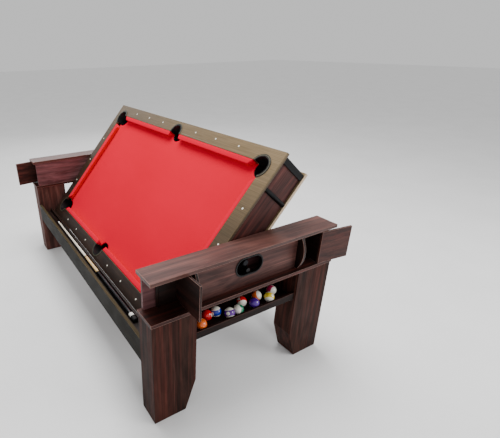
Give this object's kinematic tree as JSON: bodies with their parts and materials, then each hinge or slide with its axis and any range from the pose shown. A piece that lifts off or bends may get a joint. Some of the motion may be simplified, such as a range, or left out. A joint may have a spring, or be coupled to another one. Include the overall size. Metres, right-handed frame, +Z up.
{
  "type": "flip-over games table",
  "caption": "Games table with a pool field on one face and a hockey field on the other face of a tilting play panel, between box-leg end frames.",
  "frame": {"origin": "on the floor, under the middle of the table", "axes": "+Z up, +Y along the table from the end with the ball tray to the other end, +X to the right seen from the ball tray"},
  "size_m": [1.358, 2.466, 1.241],
  "materials": {
    "wood_dark": "dark red-brown grained laminate, satin",
    "wood_rail": "dark laminate with a soft sheen",
    "board_core": "bare particle board",
    "felt": "napped red cloth",
    "cushion_cloth": "red cloth over rubber",
    "black_plastic": "moulded, lightly textured",
    "steel": "turned",
    "ivory": "polished",
    "lacquered_wood": "clear lacquer",
    "white_laminate": "smooth white sheet"
  },
  "bodies": {
    "stand": {"leg_near_left": "wood_dark", "leg_near_right": "wood_dark", "leg_far_left": "wood_dark", "leg_far_right": "wood_dark", "leveler_feet": "black_plastic", "ledge_board_near": "wood_dark", "ledge_board_far": "wood_dark", "top_board_near": "wood_dark", "top_board_far": "wood_dark", "inner_aprons": "wood_dark", "centre_panel_near": "wood_dark", "centre_panel_far": "wood_dark", "oval_bezels": "black_plastic", "divider_boards": "wood_dark", "pivot_bearings": "steel", "lock_guides": "steel", "door_hinge_rods": "steel", "side_rail_left": "wood_dark", "side_rail_right": "wood_dark", "cue_shelves": "wood_dark", "rail_bolts": "steel", "ball_tray_floor": "wood_dark", "ball_tray_lip": "wood_dark", "ball_tray_back": "wood_dark", "pool_cue": "lacquered_wood", "pool_balls": "ivory"},
    "play_panel": {"pool_rail_plate": "wood_rail", "hockey_rim_plate": "wood_rail", "side_wall_left": "wood_dark", "side_wall_right": "wood_dark", "end_wall_near": "wood_dark", "end_wall_far": "wood_dark", "bed_board": "board_core", "felt_cloth": "felt", "cushions_left": "cushion_cloth", "cushions_right": "cushion_cloth", "cushion_near": "cushion_cloth", "cushion_far": "cushion_cloth", "corner_pockets": "black_plastic", "side_pockets": "black_plastic", "rail_sights": "ivory", "corner_bars": "black_plastic", "grip_bars": "black_plastic", "axle_stubs": "steel", "hockey_surface": "white_laminate", "puck_wall": "black_plastic", "goal_boxes": "black_plastic", "power_inlet": "black_plastic", "blower_housing": "black_plastic"},
    "lock_plunger_near": {"lock_plunger_near": "black_plastic"},
    "lock_plunger_far": {"lock_plunger_far": "black_plastic"},
    "blower_impeller": {"blower_impeller": "steel"},
    "door_near_left": {"door_web_near_left": "wood_dark", "door_face_near_left": "wood_dark"},
    "door_near_right": {"door_web_near_right": "wood_dark", "door_face_near_right": "wood_dark"},
    "door_far_left": {"door_web_far_left": "wood_dark", "door_face_far_left": "wood_dark"},
    "door_far_right": {"door_web_far_right": "wood_dark", "door_face_far_right": "wood_dark"}
  },
  "joints": [
    {"name": "flip", "type": "hinge", "parent": "stand", "child": "play_panel", "pos_m": [0, 0, 0.74], "axis": [0, 1, 0], "range_deg": [-130.8, 49.2]},
    {"name": "impeller_spin", "type": "hinge", "parent": "play_panel", "child": "blower_impeller", "pos_m": [0.03028, 0.3, 0.71386], "axis": [-0.757, 0, 0.6534], "continuous": true},
    {"name": "lock_near_slide", "type": "slide", "parent": "stand", "child": "lock_plunger_near", "axis": [0, 1, 0], "range_m": [0, 0.009]},
    {"name": "lock_far_slide", "type": "slide", "parent": "stand", "child": "lock_plunger_far", "axis": [0, -1, 0], "range_m": [0, 0.009]},
    {"name": "door_near_right_swing", "type": "hinge", "parent": "stand", "child": "door_near_right", "pos_m": [0.481, -1.035, 0.726], "axis": [0, 0, 1], "range_deg": [-83, 97]},
    {"name": "door_near_left_swing", "type": "hinge", "parent": "stand", "child": "door_near_left", "pos_m": [-0.481, -1.035, 0.726], "axis": [0, 0, -1], "range_deg": [0, 180]},
    {"name": "door_far_left_swing", "type": "hinge", "parent": "stand", "child": "door_far_left", "pos_m": [-0.481, 1.035, 0.726], "axis": [0, 0, 1], "range_deg": [-98, 82]},
    {"name": "door_far_right_swing", "type": "hinge", "parent": "stand", "child": "door_far_right", "pos_m": [0.481, 1.035, 0.726], "axis": [0, 0, -1], "range_deg": [0, 180]}
  ]
}
